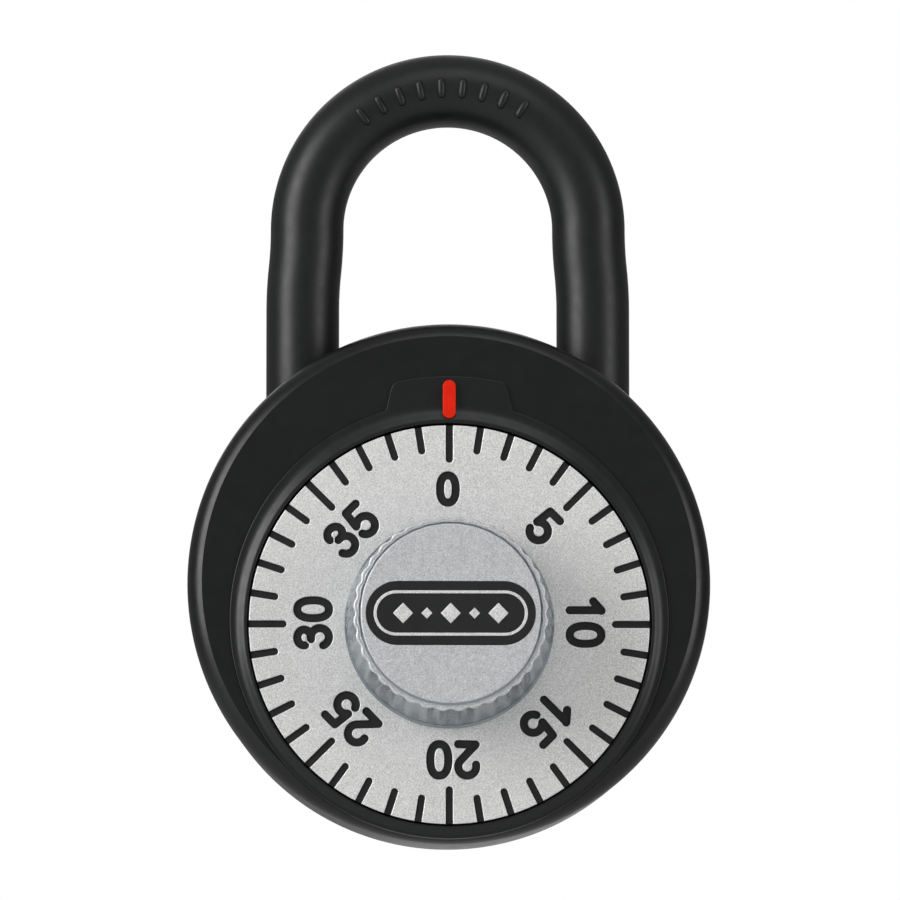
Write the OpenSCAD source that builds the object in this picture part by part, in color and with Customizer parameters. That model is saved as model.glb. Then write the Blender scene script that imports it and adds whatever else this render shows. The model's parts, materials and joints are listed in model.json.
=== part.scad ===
// Dial combination padlock: round jacketed case, eccentric dial, three-wheel pack and lifting shackle.
// Frame: X right, Y towards the back, Z up. The origin is the inner top of the shackle bow, where
// the lock hangs, in the plane of the shackle wire. All sizes are in millimetres.

/* [Case] */
// Diameter of the round case
body_d = 50; // [50:0.5:52]
// Depth of the case from its back face to its front face
body_t = 19; // [19:0.5:21]
// Radius of the rounded front edge of the case
edge_r = 1.5; // [1:0.1:1.8]
// How much smaller the case is at the back than at the front, on radius
draft = 0.8; // [0.4:0.1:1]

/* [Shackle] */
// Diameter of the shackle wire
wire_d = 7; // [6.8:0.1:7]
// Clear height between the case and the inner top of the bow
shackle_clear = 20.3; // [18:0.1:30]
// Centreline radius of the bow
bow_r = 13.6; // [13.6:0.1:13.8]
// How far each leg flares outwards below the bow
leg_flare = 0.43; // [0.3:0.01:0.5]
// How far the shackle lifts when the lock is open
lift = 9; // [8:0.5:9]

/* [Dial] */
// Distance of the dial axis below the case centre
dial_drop = 4.2; // [4:0.1:4.3]
// Radius of the numbered dial plate
dial_r = 19.1; // [18.9:0.1:19.2]
// Number of graduations round the dial
tick_count = 40; // [20:10:60]
// Width of one graduation
tick_w = 0.62; // [0.4:0.01:0.8]
// Radius of the knob at its base
knob_r = 10; // [9:0.1:10]
// Height of the knob above the dial plate
knob_h = 10; // [9:0.5:12]
// Number of flutes round the knob
flute_count = 36; // [24:2:48]

/* [Wheel pack] */
// Outer radius of the drive cam and the two wheels
wheel_r = 12; // [11:0.1:12]
// Thickness of the drive cam and of each wheel
wheel_t = 1.2; // [1:0.1:1.3]
// Distance from one wheel to the next along the axis
wheel_pitch = 2.4; // [2.4:0.1:2.5]
// Width of the gate that the fence stands over
gate_w = 2.6; // [2.4:0.1:3]

/* [Latch] */
// How far the latch bolt draws back while the shackle lifts fully
latch_travel = 4.5; // [4.5:0.1:4.6]
// Depth of the latch notch in the toe leg
notch_deep = 1.8; // [1.6:0.1:1.9]

/* [Hidden] */
$fn = 48;
EPS = 0.01;
GAP = 0.05; // radial running clearance, and the gap between pieces that are fitted together

// Case
body_r = body_d / 2;
body_z = -(shackle_clear + body_r);
dial_z = body_z - dial_drop;
face_h = body_t / 2;        // depths are measured forwards from the plane of the shackle
cavity_r = body_r - 2.4;
front_wall = 1.6;
lip_r = body_r - 4.9;
lip_t = 0.85;
back_inset = 0.3;           // the case's back lip stands this far behind the cover's face
cover_flange_t = 1;

// Bezel
opening_r = dial_r + 0.2;
well_r = dial_r + 0.75;
ring_r = 20.95;
ring_rise = 0.5;            // centre of the ring's outline above the dial axis
flange_h = face_h + 0.5;
crest_h = face_h + 0.9;
crest_r = dial_r + 1.25;
pocket_t = 0.5;
tab_r = dial_r + 4.8;
tab_w = 10.8;
tab_foot_w = 12.1;
mark_w = 1.25;
mark_l = 3.7;
mark_up = 21.6;             // middle of the mark above the dial axis

// Dial and knob
dial_h = face_h + 0.8;
dial_t = 1.4;
well_floor_h = face_h - 1.1;
well_floor_t = 1.2;
boss_h = 4.4;
spindle_r = 2;
spindle_tip_r = 1.5;
tick_short = 2.6;
tick_long = 3.6;
tick_deep = 0.3;
knob_top_h = dial_h + knob_h;
knob_face_r = 8.45;
knob_taper = atan(0.55 / (knob_h - 1.3));
badge_w = 16;
badge_l = 6;

// Wheel pack, with the front of the drive cam at cam_h
cam_h = 4.1;
middle_h = cam_h - wheel_pitch;
rear_h = middle_h - wheel_pitch;
gate_deep = 2.4;
post_r = 1.5;
fly_r = 8;                  // radius of the drive pins and of the fly arms that they push
fly_t = 0.6;
fly_angle = -60;
drive_pin_r = 0.8;

// Mechanism frame behind the wheels
frame_h = -3.9;
frame_t = 1.2;
rivet_r = 0.75;
post_spots = [[-6.5, 20], [6.5, 20]];
low_spots = [[-15, -13], [15, -13]];

// Shackle legs, in heights above the case centre
wire_r = wire_d / 2;
bow_up = shackle_clear + body_r - bow_r + wire_r;
flare_drop = 7.9;
flare_angle = 2 * atan(leg_flare / flare_drop);
flare_r = flare_drop / 2 / sin(flare_angle);
leg_x = bow_r + 2 * flare_r * (1 - cos(flare_angle));
leg_top = bow_up - flare_drop;
toe_end = 8.6;
heel_end = 5;
neck_r = 2.6;
neck_low = 7.5;
neck_high = neck_low + lift + 2;
heel_pin_r = 0.8;
heel_pin_spot = [10.55, neck_high - 1];

// Latch and lever
latch_x = -(leg_x - wire_r) - notch_deep + 0.05;
latch_low = 12.4;
latch_high = 16.8;
tip_low = 13.6;
tip_high = 15.6;
block_x = -10.3;
block_end = -4.8;
tail_end = 3.4;
block_h = [-1.6, 2.1];
tail_h = [-1.6, -0.5];
spring_up = 14.6;
spring_h = 0.85;
spring_bore_r = 1.15;
pivot = [6.8, 12];
follower = [1.5, 15.2];
follower_travel = [-5.1, -1.32];
fence_spot = [0, 10.6];
lever_h = [-3.3, -2.3];

// Puts a shape drawn as seen from the front at the case centre, at a depth forwards of the shackle
module on_case(h = 0)
    translate([0, -h, body_z]) rotate([90, 0, 0]) children();

// The same about the dial axis
module on_dial(h = 0)
    translate([0, -h, dial_z]) rotate([90, 0, 0]) children();

// Box between two corners
module block(low, high)
    translate(low) cube(high - low);

// Points of an arc
function arc(centre, r, from, to, steps = 6) =
    [for (i = [0:steps])
        let (a = from + (to - from) * i / steps)
        centre + r * [cos(a), sin(a)]];

// Straight bar of a round-ended link between two points
module link_bar(a, b, w, h) {
    run = b - a;
    translate([a[0], a[1], h[0]])
        rotate([0, 0, atan2(run[1], run[0])])
            translate([0, -w / 2, 0])
                cube([norm(run), w, h[1] - h[0]]);
}

// Disc between two depths
module disc(spot, r, h)
    translate([spot[0], spot[1], h[0]]) cylinder(r = r, h = h[1] - h[0]);

// Outline of the bezel: eccentric ring and the index tab over it
module bezel_outline(grow = 0) {
    translate([0, ring_rise]) circle(r = ring_r + grow, $fn = 96);
    intersection() {
        circle(r = tab_r + grow, $fn = 96);
        polygon([
            [-tab_foot_w / 2 - grow, 15],
            [tab_foot_w / 2 + grow, 15],
            [tab_foot_w / 2 + grow, 20.7],
            [tab_w / 2 + grow, 25],
            [-tab_w / 2 - grow, 25],
            [-tab_foot_w / 2 - grow, 20.7],
        ]);
    }
}

// Round jacket of the case, open at the back behind a rolled lip
module front_shell() {
    back_r = body_r - draft;
    color([0.14, 0.15, 0.145])
    difference() {
        on_case() {
            rotate_extrude($fn = 128)
                polygon(concat(
                    [[0, face_h]],
                    arc([body_r - edge_r, face_h - edge_r], edge_r, 90, 0),
                    arc([back_r - 1, back_inset + 1 - face_h], 1, 0, -90, 4),
                    [
                        [lip_r, back_inset - face_h],
                        [lip_r, back_inset + lip_t - face_h],
                        [cavity_r, back_inset + lip_t - face_h],
                        [cavity_r, face_h - front_wall],
                        [0, face_h - front_wall],
                    ]));
            for (p = post_spots)
                disc(p, 1.8, [frame_h + GAP, face_h - front_wall + EPS]);
        }
        on_dial(face_h - pocket_t) linear_extrude(2) bezel_outline(GAP);
        on_dial(well_floor_h - well_floor_t - GAP) cylinder(r = well_r + GAP, h = 5, $fn = 96);
        on_case() {
            for (p = post_spots)
                disc(p, rivet_r + GAP, [frame_h - 1, frame_h + 3.2]);
        }
        for (side = [-1, 1])
            translate([side * leg_x, 0, body_z + 12]) cylinder(r = wire_r + 0.1, h = 20);
    }
}

// Ring round the dial with its index tab, the well that the dial turns in and the spindle bearing
module bezel_plate() {
    color([0.16, 0.17, 0.165])
    difference() {
        on_dial() union() {
            translate([0, 0, face_h - pocket_t + GAP])
                linear_extrude(flange_h - face_h + pocket_t - GAP) bezel_outline();
            intersection() {
                translate([0, 0, face_h]) linear_extrude(crest_h - face_h) bezel_outline(-0.35);
                union() {
                    cylinder(r = crest_r, h = 20, $fn = 96);
                    translate([-8, 17, 0]) cube([16, 8, 20]);
                }
            }
            translate([0, 0, well_floor_h - well_floor_t])
                cylinder(r = well_r, h = face_h - well_floor_h + well_floor_t, $fn = 96);
            translate([0, 0, boss_h]) cylinder(r = 4, h = well_floor_h - boss_h);
            for (p = low_spots)
                disc(p + [0, dial_drop], 1.6, [frame_h + GAP, well_floor_h - EPS]);
        }
        on_dial(well_floor_h) cylinder(r = opening_r, h = 5, $fn = 96);
        on_dial() cylinder(r = spindle_r + GAP, h = 20);
        on_case() {
            for (p = low_spots)
                disc(p, rivet_r + GAP, [frame_h - 1, frame_h + 3.2]);
        }
        index_slot(GAP);
    }
}

// Space of the index mark, grown by a gap all round
module index_slot(grow) {
    half = (mark_l - mark_w) / 2;
    on_dial(crest_h - 0.4 - grow) {
        for (side = [-1, 1])
            translate([0, mark_up + side * half, 0]) cylinder(r = mark_w / 2 + grow, h = 0.45 + grow);
        translate([-mark_w / 2 - grow, mark_up - half, 0])
            cube([mark_w + 2 * grow, 2 * half, 0.45 + grow]);
    }
}

// Red mark that the numbers are read against
module index_mark()
    color([0.9, 0.2, 0.06]) index_slot(0);

// Flat back of the lock, held in by the jacket's lip
module rear_cover() {
    inner_h = -face_h + back_inset + lip_t + GAP;
    color([0.15, 0.16, 0.155])
    on_case() {
        translate([0, 0, -face_h]) cylinder(r1 = lip_r - 0.4, r2 = lip_r - 0.1, h = 0.3, $fn = 96);
        translate([0, 0, -face_h + 0.3])
            cylinder(r = lip_r - 0.1, h = inner_h + face_h - 0.3, $fn = 96);
        translate([0, 0, inner_h]) cylinder(r = cavity_r - 0.1, h = cover_flange_t, $fn = 96);
    }
}

// Plate that carries the wheel post, the lever and the latch housing
module mechanism_frame() {
    color([0.72, 0.70, 0.62])
    on_case() {
        difference() {
            disc([0, 0], cavity_r - 0.2, [frame_h - frame_t, frame_h], $fn = 96);
            for (p = concat(post_spots, low_spots))
                disc(p, rivet_r + GAP, [frame_h - 2, frame_h + 1]);
            disc([0, -dial_drop], 1.25, [frame_h - 2, frame_h + 1]);
            disc(pivot, 1.05, [frame_h - 2, frame_h + 1]);
            disc(heel_pin_spot, heel_pin_r + GAP, [frame_h - 2, frame_h + 1]);
            for (side = [-1, 1])
                disc([side * 13, 2], 3.5, [frame_h - 2, frame_h + 1]);
        }
        block([3.7, 16.3, frame_h - EPS], [4.9, 17.5, lever_h[1]]);
    }
}

// Four rivets that hold the frame to the posts of the jacket and the bezel
module frame_rivets() {
    color("silver")
    on_case()
        for (p = concat(post_spots, low_spots)) {
            disc(p, rivet_r, [frame_h - frame_t - EPS, frame_h + 3]);
            disc(p, 1.4, [frame_h - frame_t - 0.6, frame_h - frame_t]);
        }
}

// Block that guides one leg, cut to the inside of the jacket
module leg_guide(side, inner, low) {
    difference() {
        on_case() intersection() {
            block([side > 0 ? leg_x - inner : -leg_x - 4.4, low, frame_h + GAP],
                  [side > 0 ? leg_x + 4.4 : -leg_x + inner, 24, 4.6]);
            disc([0, 0], cavity_r - GAP, [-6, 6], $fn = 96);
        }
        translate([side * leg_x, 0, body_z]) cylinder(r = wire_r + 0.06, h = 30);
    }
}

// Guide of the leg that comes out of the case
module toe_bushing()
    color([0.62, 0.60, 0.52]) leg_guide(-1, 4.4, 17.2);

// Guide of the leg that stays in the case, with the hole for the stop pin
module heel_bushing() {
    color([0.62, 0.60, 0.52])
    difference() {
        leg_guide(1, 5, 15);
        on_case() disc(heel_pin_spot, heel_pin_r + GAP, [-6, 6]);
    }
}

// Pin beside the heel leg's neck that stops the shackle at full lift
module heel_pin() {
    color("silver")
    on_case() disc(heel_pin_spot, heel_pin_r, [frame_h - frame_t, 4.6]);
}

// Channel that the latch bolt slides in, with the stop of its spring
module latch_housing() {
    color([0.72, 0.70, 0.62])
    on_case() {
        block([-9.5, latch_low - 0.1, 2.2], [4.3, 17.55, 3]);
        block([-9.5, latch_high + GAP, frame_h + GAP], [3.5, 17.55, 2.3]);
        block([-9.5, 11.3, frame_h + GAP], [-2.2, latch_low - GAP, 3]);
        block([3.5, latch_low - 0.1, -0.3], [4.3, 17.55, 2.3]);
    }
}

// Headed pin that the lever turns on
module lever_pin() {
    color("silver")
    on_case() {
        disc(pivot, 1, [frame_h - frame_t, lever_h[1] + GAP]);
        disc(pivot, 1.5, [lever_h[1] + GAP, lever_h[1] + 0.5]);
    }
}

// Post that the two wheels turn on, riveted into the frame and grooved for its clip
module wheel_post() {
    front = middle_h + 0.5;
    color("silver")
    on_dial() {
        disc([0, 0], post_r, [frame_h + GAP, middle_h + 0.1]);
        disc([0, 0], 1.2, [frame_h - frame_t, front]);
        disc([0, 0], post_r, [middle_h + 0.4, front]);
        disc([0, 0], 2.2, [frame_h - frame_t - 0.6, frame_h - frame_t]);
    }
}

// Open spring clip at the front of the post
module post_clip() {
    color("silver")
    on_dial() difference() {
        disc([0, 0], 2.5, [middle_h + 0.12, middle_h + 0.38]);
        disc([0, 0], 1.25, [middle_h - 1, middle_h + 1]);
        block([-1.1, -4, middle_h - 1], [1.1, 0, middle_h + 1]);
    }
}

// Sleeves that keep the wheels apart on the post
module wheel_spacers() {
    spans = [
        [rear_h + GAP, middle_h - wheel_t - GAP],
        [frame_h + GAP, rear_h - wheel_t - GAP],
    ];
    color([0.75, 0.62, 0.35])
    on_dial()
        for (span = spans)
            difference() {
                disc([0, 0], 2.6, span);
                disc([0, 0], post_r + GAP, [span[0] - 1, span[1] + 1]);
            }
}

// Thin washer that the dial bears on
module dial_washer() {
    color([0.85, 0.82, 0.7])
    on_dial() difference() {
        disc([0, 0], 5, [well_floor_h + GAP, dial_h - dial_t - GAP]);
        disc([0, 0], spindle_r + 0.2, [well_floor_h - 1, dial_h]);
    }
}

// Points round one section of a coil about the x axis
function coil_ring(i, r, wire, pitch, steps) = [
    for (k = [0:7])
        let (turn = 360 * i / steps, out = r + wire * cos(45 * k))
        [pitch * i / steps + wire * sin(45 * k), out * cos(turn), out * sin(turn)]
];

// Wire wound round the x axis
module coil(r, wire, pitch, turns, steps = 16) {
    last = turns * steps;
    polyhedron(
        points = [for (i = [0:last]) each coil_ring(i, r, wire, pitch, steps)],
        faces = concat(
            [[for (k = [7:-1:0]) k]],
            [for (i = [0:last - 1], k = [0:7])
                [8 * i + k, 8 * i + (k + 1) % 8, 8 * i + 8 + (k + 1) % 8, 8 * i + 8 + k]],
            [[for (k = [0:7]) 8 * last + k]]));
}

// Spring that pushes the latch bolt into the toe notch
module latch_spring() {
    turns = 8;
    wire = 0.2;
    start = block_x + 1.55 + wire;
    end = 3.45 - wire;
    color("lightsteelblue")
    on_case(spring_h) translate([start, spring_up, 0])
        coil(0.85, wire, (end - start) / turns, turns);
}

// Leaf spring that holds the fence off the wheels
module lever_spring() {
    color("lightsteelblue")
    on_case(lever_h[0] + 0.1) translate([4.95, 12.85])
        rotate_extrude(angle = 85, start = 5)
            translate([3.9, 0]) square([0.3, 0.8]);
}

// Two gentle arcs of wire that carry a leg outwards from the bow, with a thin band where they meet,
// drawn for the right leg
module leg_flare_arcs() {
    on_case() {
        translate([(bow_r + leg_x) / 2, (bow_up + leg_top) / 2, 0])
            rotate([90, 0, flare_angle])
                cylinder(r = wire_r + 3 * EPS, h = 0.6, center = true);
        translate([bow_r + flare_r, bow_up, 0])
            rotate_extrude(angle = flare_angle, start = 180) translate([flare_r, 0]) circle(r = wire_r);
        translate([leg_x - flare_r, leg_top, 0])
            rotate_extrude(angle = flare_angle, start = 0) translate([flare_r, 0]) circle(r = wire_r);
    }
}

// Straight part of a leg with a chamfered end, from its end to the flare
module straight_leg(end, chamfer = 1)
    translate([0, 0, body_z + end]) {
        cylinder(r1 = wire_r - chamfer, r2 = wire_r, h = chamfer);
        translate([0, 0, chamfer]) cylinder(r = wire_r, h = leg_top - end - chamfer);
    }

// Bow with its long heel leg on the right and its notched toe leg on the left
module shackle() {
    inner_x = wire_r - notch_deep;
    flank = notch_deep * lift / latch_travel;
    color([0.13, 0.14, 0.135]) {
        on_case() translate([0, bow_up, 0])
            rotate_extrude(angle = 180) translate([bow_r, 0]) circle(r = wire_r);
        leg_flare_arcs();
        mirror([1, 0, 0]) leg_flare_arcs();
        translate([leg_x, 0, 0]) difference() {
            straight_leg(heel_end);
            translate([0, 0, body_z + neck_low]) difference() {
                cylinder(r = wire_r + 1, h = neck_high - neck_low);
                translate([0, 0, -1]) cylinder(r = neck_r, h = neck_high);
            }
        }
        difference() {
            translate([-leg_x, 0, 0]) straight_leg(toe_end);
            on_case(-5) translate([-leg_x, 0, 0]) linear_extrude(10)
                polygon([
                    [inner_x, tip_low - 0.05],
                    [wire_r + 0.5, tip_low - 0.05 - flank - 0.5 * lift / latch_travel],
                    [wire_r + 0.5, tip_high + 0.2],
                    [inner_x, tip_high + 0.2],
                ]);
        }
    }
}

// Numbered plate with its graduations cut in from the edge
module dial_plate() {
    step = 360 / tick_count;
    color([0.80, 0.81, 0.82])
    on_dial() difference() {
        translate([0, 0, dial_h - dial_t]) cylinder(r = dial_r, h = dial_t, $fn = 96);
        translate([0, 0, dial_h - dial_t - 1]) cylinder(r = spindle_r + GAP, h = dial_t + 2);
        for (i = [0:tick_count - 1]) {
            length = i % 5 == 0 ? tick_long : tick_short;
            rotate([0, 0, i * step]) translate([0, dial_r - length, dial_h - tick_deep]) {
                translate([-tick_w / 2, tick_w / 2, 0]) cube([tick_w, length, 1]);
                translate([0, tick_w / 2, 0]) cylinder(r = tick_w / 2 + 0.01, h = 1, $fn = 24);
            }
        }
    }
}

// Hollow knob with a fluted wall and a recess for its badge
module knob() {
    foot_h = dial_h + GAP;
    color([0.72, 0.74, 0.77])
    on_dial() difference() {
        rotate_extrude($fn = 96)
            polygon([
                [0, foot_h],
                [knob_r, foot_h],
                [knob_r, foot_h + 0.5],
                [knob_r - 0.2, foot_h + 0.7],
                [knob_r - 0.75, knob_top_h - 0.5],
                [knob_r - 1.1, knob_top_h - 0.25],
                [knob_face_r + 0.15, knob_top_h - 0.25],
                [knob_face_r, knob_top_h],
                [0, knob_top_h],
            ]);
        for (i = [0:flute_count - 1])
            rotate([0, 0, i * 360 / flute_count])
                translate([knob_r + 0.16, 0, foot_h + 1])
                    rotate([0, -knob_taper, 0])
                        cylinder(r = 0.6, h = knob_h + 1, $fn = 24);
        translate([0, 0, foot_h - 1]) difference() {
            cylinder(r = 7.6, h = knob_h - 1);
            translate([0, 0, -1]) cylinder(r = 3.5, h = knob_h + 1);
        }
        translate([0, 0, foot_h - 1]) cylinder(r = spindle_r + GAP, h = knob_h - 0.7);
        pill(badge_w + 2 * GAP, badge_l + 2 * GAP, [knob_top_h - 0.45, knob_top_h + 1]);
    }
}

// Flat round-ended bar, its ends a hair wider than its sides
module pill(w, l, h) {
    for (side = [-1, 1])
        disc([side * (w - l) / 2, 0], l / 2, h);
    block([-(w - l) / 2, -l / 2 + EPS, h[0]], [(w - l) / 2, l / 2 - EPS, h[1]]);
}

// Plain badge let into the knob
module knob_badge()
    color([0.1, 0.1, 0.1]) on_dial() pill(badge_w, badge_l, [knob_top_h - 0.4, knob_top_h - 0.05]);

// Shaft that joins the knob to the drive cam, with its riveted end
module spindle() {
    color("silver")
    on_dial() {
        disc([0, 0], spindle_r, [cam_h + GAP, dial_h + knob_h - 1.8]);
        disc([0, 0], spindle_tip_r, [cam_h - wheel_t - GAP, cam_h + GAP + EPS]);
        disc([0, 0], 2.1, [cam_h - wheel_t - 0.35, cam_h - wheel_t - GAP]);
    }
}

// One disc of the pack with its gate at the top
module wheel_disc(front, hole_r) {
    difference() {
        disc([0, 0], wheel_r, [front - wheel_t, front], $fn = 96);
        disc([0, 0], hole_r, [front - wheel_t - 1, front + 1]);
        block([-gate_w / 2, wheel_r - gate_deep, front - wheel_t - 1],
              [gate_w / 2, wheel_r + 1, front + 1]);
        for (a = [30, 150, 270])
            disc(7 * [cos(a), sin(a)], 1.8, [front - wheel_t - 1, front + 1]);
    }
}

// Drive pin on the back of a disc, which pushes the next wheel's fly
module drive_pin(front)
    disc(fly_r * [cos(fly_angle), sin(fly_angle)], drive_pin_r,
         [front - wheel_pitch + 0.1, front - wheel_t + EPS]);

// Fly of a wheel: a ring with one arm that stands against the drive pin in front of it
module fly(front) {
    arm_angle = fly_angle - 2 * asin((drive_pin_r + GAP / 2 + 0.4) / fly_r);
    span = [front + GAP, front + GAP + fly_t];
    difference() {
        union() {
            disc([0, 0], 4.4, span);
            rotate([0, 0, arm_angle]) block([3.5, -0.8, span[0]], [fly_r + 1, 0.8, span[1]]);
        }
        disc([0, 0], 3, [span[0] - 1, span[1] + 1]);
    }
}

// Disc that turns with the dial and drives the wheels behind it
module drive_cam() {
    color([0.76, 0.72, 0.6])
    on_dial() {
        wheel_disc(cam_h, spindle_tip_r + GAP);
        drive_pin(cam_h);
    }
}

// Middle wheel, picked up by the drive cam's pin
module middle_wheel() {
    color([0.78, 0.66, 0.38])
    on_dial() {
        wheel_disc(middle_h, post_r + GAP);
        drive_pin(middle_h);
    }
}

// Fly of the middle wheel
module middle_fly()
    color([0.7, 0.7, 0.72]) on_dial() fly(middle_h);

// Rear wheel, picked up by the middle wheel's pin
module rear_wheel()
    color([0.78, 0.66, 0.38]) on_dial() wheel_disc(rear_h, post_r + GAP);

// Fly of the rear wheel
module rear_fly()
    color([0.7, 0.7, 0.72]) on_dial() fly(rear_h);

// Sliding bolt: bevelled tip in the toe notch, spring bore, and a tail whose slot moves the lever
module latch_bolt() {
    slot = [follower, follower + follower_travel];
    slot_h = [tail_h[0] - 1, tail_h[1] + 0.15];
    color([0.80, 0.78, 0.70])
    on_case() difference() {
        union() {
            block([block_x, latch_low, block_h[0]], [block_end, latch_high, block_h[1]]);
            block([block_end - EPS, latch_low, tail_h[0]], [tail_end, latch_high, tail_h[1]]);
            translate([0, 0, -1.5]) linear_extrude(3)
                polygon([
                    [latch_x, tip_low],
                    [block_x + EPS, tip_low],
                    [block_x + EPS, tip_high],
                    [latch_x + 0.8, tip_high],
                    [latch_x, tip_high - 0.8],
                ]);
        }
        link_bar(slot[0], slot[1], 1.5, slot_h);
        for (p = slot)
            disc(p, 0.76, slot_h);
        translate([block_x + 1.5, spring_up, spring_h])
            rotate([0, 90, 0]) cylinder(r = spring_bore_r, h = 10);
    }
}

// Lever plate between the follower, the pivot and the fence
module lever() {
    tail = [9.3, 12.2];
    color([0.72, 0.73, 0.75])
    on_case() difference() {
        union() {
            link_bar(pivot, fence_spot, 2.2, lever_h);
            link_bar(pivot, tail, 1.6, lever_h);
            link_bar([3.4, 11.6], follower, 1.8, lever_h);
            disc(pivot, 2.2, lever_h);
            disc(fence_spot, 1.5, lever_h);
            disc(follower, 1.2, lever_h);
        }
        disc(pivot, 1 + GAP, [lever_h[0] - 1, lever_h[1] + 1]);
    }
}

// Bar across the rims of the cam and the wheels
module fence() {
    half = 0.95;
    color([0.80, 0.78, 0.70])
    on_case()
        block([fence_spot[0] - half, fence_spot[1] - half, lever_h[1] + 0.01],
              [fence_spot[0] + half, fence_spot[1] + half, cam_h + 0.3]);
}

// Stud on the lever that rides in the latch bolt's slot
module lever_follower() {
    color("silver")
    on_case() disc(follower, 0.6, [lever_h[1] + 0.01, tail_h[1] + 0.1]);
}

front_shell();
bezel_plate();
index_mark();
rear_cover();
mechanism_frame();
frame_rivets();
toe_bushing();
heel_bushing();
heel_pin();
latch_housing();
lever_pin();
wheel_post();
post_clip();
wheel_spacers();
dial_washer();
latch_spring();
lever_spring();
shackle();
dial_plate();
knob();
knob_badge();
spindle();
drive_cam();
middle_wheel();
middle_fly();
rear_wheel();
rear_fly();
latch_bolt();
lever();
fence();
lever_follower();
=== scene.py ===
"""Dial combination padlock: satin black case and shackle, silver numbered dial and fluted knob.

Pieces are drawn in millimetres as seen from the front: x to the right, y up and h forwards from the
plane of the shackle wire. seat() then carries a drawing into the frame, in metres.
"""
import json
import math
from types import SimpleNamespace

import bmesh
import bpy
import numpy as np
from bpy.props import FloatProperty, FloatVectorProperty, IntProperty, PointerProperty
from mathutils import Matrix, Vector


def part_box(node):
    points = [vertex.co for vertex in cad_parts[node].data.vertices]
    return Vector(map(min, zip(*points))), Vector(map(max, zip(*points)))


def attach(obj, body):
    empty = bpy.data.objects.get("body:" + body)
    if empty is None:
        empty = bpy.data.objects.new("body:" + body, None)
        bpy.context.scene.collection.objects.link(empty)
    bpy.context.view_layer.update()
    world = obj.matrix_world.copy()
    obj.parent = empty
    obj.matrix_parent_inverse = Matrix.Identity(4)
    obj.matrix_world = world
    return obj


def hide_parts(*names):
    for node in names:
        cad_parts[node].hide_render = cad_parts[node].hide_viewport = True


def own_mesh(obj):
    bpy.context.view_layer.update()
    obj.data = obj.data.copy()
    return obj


bl_info = {
    "name": "Dial Padlock",
    "version": (1, 0, 0),
    "blender": (4, 5, 0),
    "location": "3D View > Sidebar > Padlock",
    "description": "Builds the looks of a dial combination padlock round its packed frame",
    "category": "Object",
}

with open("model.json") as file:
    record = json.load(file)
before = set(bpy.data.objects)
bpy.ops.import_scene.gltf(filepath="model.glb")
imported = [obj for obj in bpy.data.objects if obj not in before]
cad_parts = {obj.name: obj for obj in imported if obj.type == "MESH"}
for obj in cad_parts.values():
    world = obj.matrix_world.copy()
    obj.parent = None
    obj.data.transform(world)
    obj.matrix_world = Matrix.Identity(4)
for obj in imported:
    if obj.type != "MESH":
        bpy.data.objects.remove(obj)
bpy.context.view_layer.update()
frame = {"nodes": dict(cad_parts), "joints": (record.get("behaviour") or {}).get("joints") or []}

MM = 0.001
JOINTS = {joint["name"]: joint for joint in frame["joints"]}


def node_mm(node):
    """Lowest and highest corner of a CAD node in millimetres."""
    low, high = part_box(node)
    return low / MM, high / MM


# Places and depths that come from the frame
CASE_Z = sum(corner.z for corner in node_mm("rear_cover")) / 2
DIAL_Z = JOINTS["dial_spin"]["pos_m"][2] / MM
DIAL_DROP = CASE_Z - DIAL_Z
FACE_H = -node_mm("front_shell")[0].y
BACK_H = -node_mm("rear_cover")[1].y
BODY_R = node_mm("front_shell")[1].x
DIAL_H = -node_mm("dial_plate")[0].y
DIAL_BACK_H = -node_mm("dial_plate")[1].y
KNOB_H = -node_mm("knob")[0].y
KNOB_FOOT_H = -node_mm("knob")[1].y
WIRE_R = -node_mm("shackle")[0].y
BOW_TOP = node_mm("shackle")[1].z - CASE_Z
HEEL_END = node_mm("shackle")[0].z - CASE_Z
LEG_X = node_mm("shackle")[1].x - WIRE_R


# ---- Settings ----


def length(label, mm, low, high):
    """A length setting, given in millimetres."""
    return FloatProperty(name=label, default=mm * MM, min=low * MM, max=high * MM, precision=5,
                         subtype="DISTANCE", unit="LENGTH")


def whole(label, number, low, high):
    return IntProperty(name=label, default=number, min=low, max=high)


def tilt(label, degrees):
    return FloatProperty(name=label, default=math.radians(degrees), min=-math.pi, max=math.pi,
                         subtype="ANGLE", unit="ROTATION")


def colour(label, value):
    return FloatVectorProperty(name=label, default=value, size=3, min=0, max=1, subtype="COLOR")


class CaseSettings(bpy.types.PropertyGroup):
    """Case and bezel"""
    edge_r: length("Rounding of the front edge", 2.2, 1, 2.4)
    ring_r: length("Radius of the bezel ring", 20.95, 20.5, 21.2)
    tab_r: length("Radius of the index tab's top", 23.9, 23, 24.4)
    opening_r: length("Radius of the dial's opening", 19.3, 19.2, 19.6)
    mark_w: length("Width of the index mark", 1.25, 0.8, 1.6)
    mark_l: length("Length of the index mark", 3.7, 2, 4)
    black: colour("Enamel of the case", (0.0034, 0.0041, 0.0038))
    red: colour("Paint of the index mark", (0.66, 0.013, 0.001))


class ShackleSettings(bpy.types.PropertyGroup):
    """Shackle"""
    bow_r: length("Radius of the bow's middle line", 13.6, 13, 14)
    flare: length("Height of the legs' flare", 7.9, 6, 9)
    ribs: whole("Ribs on the bow", 9, 0, 15)
    rib_w: length("Width of a rib", 0.84, 0.3, 1)
    black: colour("Coating of the shackle", (0.0040, 0.0048, 0.0045))


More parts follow.
